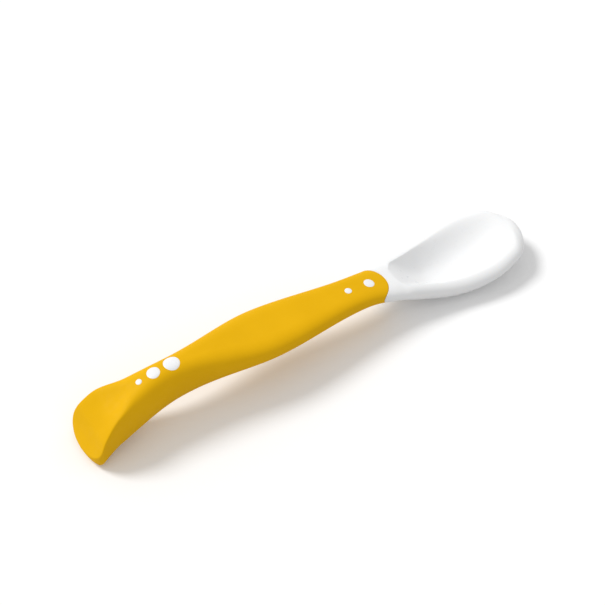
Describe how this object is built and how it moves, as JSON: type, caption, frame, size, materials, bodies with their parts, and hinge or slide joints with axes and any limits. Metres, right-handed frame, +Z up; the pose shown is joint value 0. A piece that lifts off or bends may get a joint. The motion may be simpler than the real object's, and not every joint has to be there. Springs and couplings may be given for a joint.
{
  "type": "baby spoon",
  "caption": "Baby spoon with a hard white bowl and a soft yellow grip, whose handle bends sideways to either hand and stays bent.",
  "frame": {"origin": "centre of the bounding box's footprint, on the surface that the spoon lies on", "axes": "+X along the handle from the tail to the tip of the bowl, +Z up out of the bowl, +Y to the left of a hand that points along +X"},
  "size_m": [0.16, 0.0284, 0.0211],
  "materials": {
    "hard_white": "satin moulded polypropylene",
    "soft_yellow": "matt soft-touch thermoplastic elastomer",
    "core_metal": "bare annealed strip"
  },
  "bodies": {
    "tail_end": {"grip_tail": "soft_yellow", "tail_insert": "hard_white", "core_tail": "core_metal"},
    "slice_1": {"grip_slice_1": "soft_yellow", "core_slice_1": "core_metal"},
    "slice_2": {"grip_slice_2": "soft_yellow", "core_slice_2": "core_metal"},
    "slice_3": {"grip_slice_3": "soft_yellow", "core_slice_3": "core_metal"},
    "slice_4": {"grip_slice_4": "soft_yellow", "core_slice_4": "core_metal"},
    "slice_5": {"grip_slice_5": "soft_yellow", "core_slice_5": "core_metal"},
    "slice_6": {"grip_slice_6": "soft_yellow", "core_slice_6": "core_metal"},
    "slice_7": {"grip_slice_7": "soft_yellow", "core_slice_7": "core_metal"},
    "slice_8": {"grip_slice_8": "soft_yellow", "core_slice_8": "core_metal"},
    "slice_9": {"grip_slice_9": "soft_yellow", "core_slice_9": "core_metal"},
    "bowl_end": {"bowl": "hard_white", "grip_neck": "soft_yellow", "core_neck": "core_metal"}
  },
  "joints": [
    {"name": "bend_1", "type": "hinge", "parent": "tail_end", "child": "slice_1", "pos_m": [-0.043, 0, 0.0135], "axis": [0, 0, 1], "range_deg": [-6.6, 6.6]},
    {"name": "bend_2", "type": "hinge", "parent": "slice_1", "child": "slice_2", "pos_m": [-0.03711, 0, 0.0135], "axis": [0, 0, 1], "range_deg": [-6.6, 6.6]},
    {"name": "bend_3", "type": "hinge", "parent": "slice_2", "child": "slice_3", "pos_m": [-0.03122, 0, 0.0135], "axis": [0, 0, 1], "range_deg": [-6.6, 6.6]},
    {"name": "bend_4", "type": "hinge", "parent": "slice_3", "child": "slice_4", "pos_m": [-0.02533, 0, 0.0135], "axis": [0, 0, 1], "range_deg": [-6.6, 6.6]},
    {"name": "bend_5", "type": "hinge", "parent": "slice_4", "child": "slice_5", "pos_m": [-0.01944, 0, 0.0135], "axis": [0, 0, 1], "range_deg": [-6.6, 6.6]},
    {"name": "bend_6", "type": "hinge", "parent": "slice_5", "child": "slice_6", "pos_m": [-0.01356, 0, 0.0135], "axis": [0, 0, 1], "range_deg": [-6.6, 6.6]},
    {"name": "bend_7", "type": "hinge", "parent": "slice_6", "child": "slice_7", "pos_m": [-0.00767, 0, 0.0135], "axis": [0, 0, 1], "range_deg": [-6.6, 6.6]},
    {"name": "bend_8", "type": "hinge", "parent": "slice_7", "child": "slice_8", "pos_m": [-0.00178, 0, 0.0135], "axis": [0, 0, 1], "range_deg": [-6.6, 6.6]},
    {"name": "bend_9", "type": "hinge", "parent": "slice_8", "child": "slice_9", "pos_m": [0.00411, 0, 0.0135], "axis": [0, 0, 1], "range_deg": [-6.6, 6.6]},
    {"name": "bend_10", "type": "hinge", "parent": "slice_9", "child": "bowl_end", "pos_m": [0.01, 0, 0.0135], "axis": [0, 0, 1], "range_deg": [-6.6, 6.6]}
  ],
  "couplings": [
    {"joint": "bend_2", "follows": "bend_1", "ratio": 1},
    {"joint": "bend_3", "follows": "bend_1", "ratio": 1},
    {"joint": "bend_4", "follows": "bend_1", "ratio": 1},
    {"joint": "bend_5", "follows": "bend_1", "ratio": 1},
    {"joint": "bend_6", "follows": "bend_1", "ratio": 1},
    {"joint": "bend_7", "follows": "bend_1", "ratio": 1},
    {"joint": "bend_8", "follows": "bend_1", "ratio": 1},
    {"joint": "bend_9", "follows": "bend_1", "ratio": 1},
    {"joint": "bend_10", "follows": "bend_1", "ratio": 1}
  ]
}
